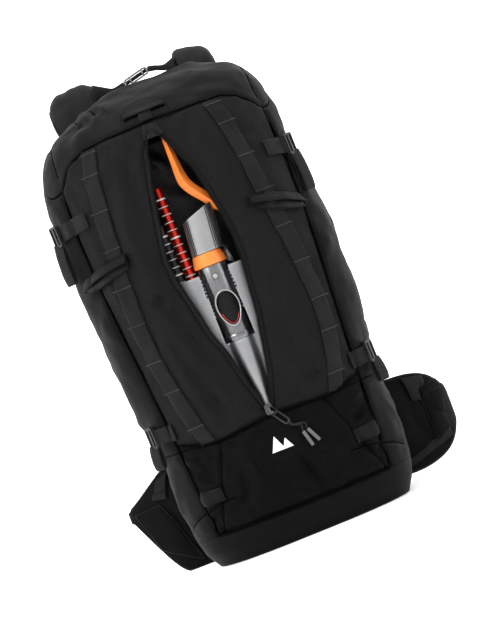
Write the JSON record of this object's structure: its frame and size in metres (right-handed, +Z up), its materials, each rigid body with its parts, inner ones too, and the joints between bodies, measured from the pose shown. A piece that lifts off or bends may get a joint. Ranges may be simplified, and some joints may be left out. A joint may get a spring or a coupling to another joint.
{
  "type": "avalanche airbag backpack",
  "caption": "Ski touring backpack with an airbag lid, open front zip showing shovel and probe, daisy chains, compression straps, shoulder straps and hip belt.",
  "frame": {"origin": "centre of the flat base that the pack stands on", "axes": "+Z up, +Y towards the harness and the wearer's back, so the front faces -Y, and +X to the right seen from the front"},
  "size_m": [0.4475, 0.3661, 0.6162],
  "materials": {
    "matt_fabric": "matt tight-weave black nylon",
    "glossy_fabric": "smooth coated charcoal nylon with a slight sheen",
    "lining": "thin black lining cloth",
    "webbing": "ribbed black webbing",
    "padding": "foam pad covered in black knit",
    "black_plastic": "moulded black acetal",
    "grey_plastic": "dark grey moulded cord end",
    "red_plastic": "red moulded handle",
    "orange_plastic": "orange moulded nylon",
    "shovel_metal": "satin anodised aluminium",
    "socket_metal": "dark anodised aluminium",
    "hook_metal": "bright metal hook",
    "probe_red": "red anodised tube with white rings",
    "probe_black": "black anodised tube with white rings",
    "airbag_fabric": "orange folded airbag cloth"
  },
  "bodies": {
    "pack": {"bottom_panel": "glossy_fabric", "back_panel": "matt_fabric", "side_panel_left": "glossy_fabric", "side_panel_right": "glossy_fabric", "front_panel_left": "matt_fabric", "front_panel_right": "matt_fabric", "front_pocket": "matt_fabric", "tool_divider": "lining", "frame_sheet": "black_plastic", "zip_garage": "webbing", "zip_tape_left": "webbing", "zip_tape_right": "webbing", "daisy_chain_left": "webbing", "daisy_chain_right": "webbing", "compression_strap_upper_left": "webbing", "compression_strap_upper_right": "webbing", "compression_strap_lower_left": "webbing", "compression_strap_lower_right": "webbing", "shoulder_yoke": "padding", "haul_strap": "webbing", "back_pad": "padding", "shovel_blade": "shovel_metal", "shovel_socket": "socket_metal", "shovel_collar": "orange_plastic", "shovel_shaft": "shovel_metal", "shovel_handle": "orange_plastic", "probe_section_red": "probe_red", "probe_section_black": "probe_black", "airbag_folded": "airbag_fabric", "inflator_housing": "black_plastic"},
    "lid": {"lid": "matt_fabric", "lid_patch": "matt_fabric"},
    "slider": {"zip_slider": "black_plastic"},
    "pull": {"zip_pull": "black_plastic", "zip_pull_cord": "webbing", "zip_cord_end_left": "grey_plastic", "zip_cord_end_right": "grey_plastic"},
    "hook": {"haul_hook": "hook_metal"},
    "flap_left": {"tool_flap_left": "matt_fabric"},
    "flap_right": {"tool_flap_right": "matt_fabric"},
    "strap_left": {"shoulder_strap_left": "padding", "shoulder_webbing_left": "webbing"},
    "strap_right": {"shoulder_strap_right": "padding", "shoulder_webbing_right": "webbing"},
    "sternum_left": {"sternum_strap_left": "black_plastic"},
    "sternum_right": {"sternum_strap_right": "black_plastic"},
    "trigger": {"trigger_handle": "red_plastic"},
    "hip_left": {"hip_wing_left": "padding", "hip_webbing_left": "webbing", "hip_buckle_male": "black_plastic"},
    "hip_right": {"hip_wing_right": "padding", "hip_webbing_right": "webbing", "hip_buckle_female": "black_plastic"},
    "impeller": {"inflator_impeller": "black_plastic"},
    "power_button": {"inflator_button": "orange_plastic"},
    "lock_button": {"shovel_button": "shovel_metal"},
    "lock_upper_left": {"compression_buckle_upper_left": "black_plastic"},
    "lock_upper_right": {"compression_buckle_upper_right": "black_plastic"},
    "lock_lower_left": {"compression_buckle_lower_left": "black_plastic"},
    "lock_lower_right": {"compression_buckle_lower_right": "black_plastic"}
  },
  "joints": [
    {"name": "lid_hinge", "type": "hinge", "parent": "pack", "child": "lid", "pos_m": [0, 0.088, 0.56], "axis": [-1, 0, 0], "range_deg": [0, 60]},
    {"name": "zip_slide", "type": "slide", "parent": "pack", "child": "slider", "axis": [0, 0, 1], "range_m": [0, 0.32]},
    {"name": "zip_pull_hinge", "type": "hinge", "parent": "slider", "child": "pull", "pos_m": [0.002, -0.1163, 0.1606], "axis": [-0.8253, 0, -0.5646], "range_deg": [0, 110]},
    {"name": "haul_hook_slide", "type": "slide", "parent": "pack", "child": "hook", "axis": [1, 0, 0], "range_m": [-0.005, 0.005]},
    {"name": "tool_flap_left_hinge", "type": "hinge", "parent": "pack", "child": "flap_left", "pos_m": [-0.086, -0.1075, 0.388], "axis": [0, 0, 1], "range_deg": [0, 80]},
    {"name": "tool_flap_right_hinge", "type": "hinge", "parent": "pack", "child": "flap_right", "pos_m": [0.072, -0.1095, 0.396], "axis": [0, 0, -1], "range_deg": [0, 80]},
    {"name": "strap_left_hinge", "type": "hinge", "parent": "pack", "child": "strap_left", "pos_m": [-0.077, 0.131, 0.611], "axis": [1, 0, 0], "range_deg": [0, 16]},
    {"name": "strap_right_hinge", "type": "hinge", "parent": "pack", "child": "strap_right", "pos_m": [0.077, 0.131, 0.611], "axis": [1, 0, 0], "range_deg": [0, 16]},
    {"name": "sternum_left_slide", "type": "slide", "parent": "strap_left", "child": "sternum_left", "axis": [0, 0.061, 0.9981], "range_m": [-0.035, 0.035]},
    {"name": "sternum_right_slide", "type": "slide", "parent": "strap_right", "child": "sternum_right", "axis": [0, 0.061, 0.9981], "range_m": [-0.035, 0.035]},
    {"name": "trigger_pull", "type": "slide", "parent": "strap_left", "child": "trigger", "axis": [0, -0.0857, -0.9963], "range_m": [0, 0.045]},
    {"name": "hip_left_hinge", "type": "hinge", "parent": "pack", "child": "hip_left", "pos_m": [-0.099, 0.104, 0.07], "axis": [0, 0, 1], "range_deg": [-8, 12]},
    {"name": "hip_right_hinge", "type": "hinge", "parent": "pack", "child": "hip_right", "pos_m": [0.099, 0.104, 0.07], "axis": [0, 0, -1], "range_deg": [-8, 12]},
    {"name": "impeller_spin", "type": "hinge", "parent": "pack", "child": "impeller", "pos_m": [0.035, 0.06, 0.44], "axis": [0, 1, 0], "continuous": true},
    {"name": "power_button_press", "type": "slide", "parent": "pack", "child": "power_button", "axis": [0, 1, 0], "range_m": [0, 0.002], "stiffness_N_per_m": 800},
    {"name": "shovel_button_press", "type": "slide", "parent": "pack", "child": "lock_button", "axis": [0, 1, 0], "range_m": [0, 0.002], "stiffness_N_per_m": 800},
    {"name": "lock_upper_left_tilt", "type": "hinge", "parent": "pack", "child": "lock_upper_left", "pos_m": [-0.15205, -0.06523, 0.447], "axis": [0, 0, 1], "range_deg": [0, 20]},
    {"name": "lock_upper_right_tilt", "type": "hinge", "parent": "pack", "child": "lock_upper_right", "pos_m": [0.13841, -0.06523, 0.447], "axis": [0, 0, -1], "range_deg": [0, 20]},
    {"name": "lock_lower_left_tilt", "type": "hinge", "parent": "pack", "child": "lock_lower_left", "pos_m": [-0.1361, -0.0651, 0.178], "axis": [0, 0, 1], "range_deg": [0, 20]},
    {"name": "lock_lower_right_tilt", "type": "hinge", "parent": "pack", "child": "lock_lower_right", "pos_m": [0.13498, -0.0651, 0.178], "axis": [0, 0, -1], "range_deg": [0, 20]}
  ]
}
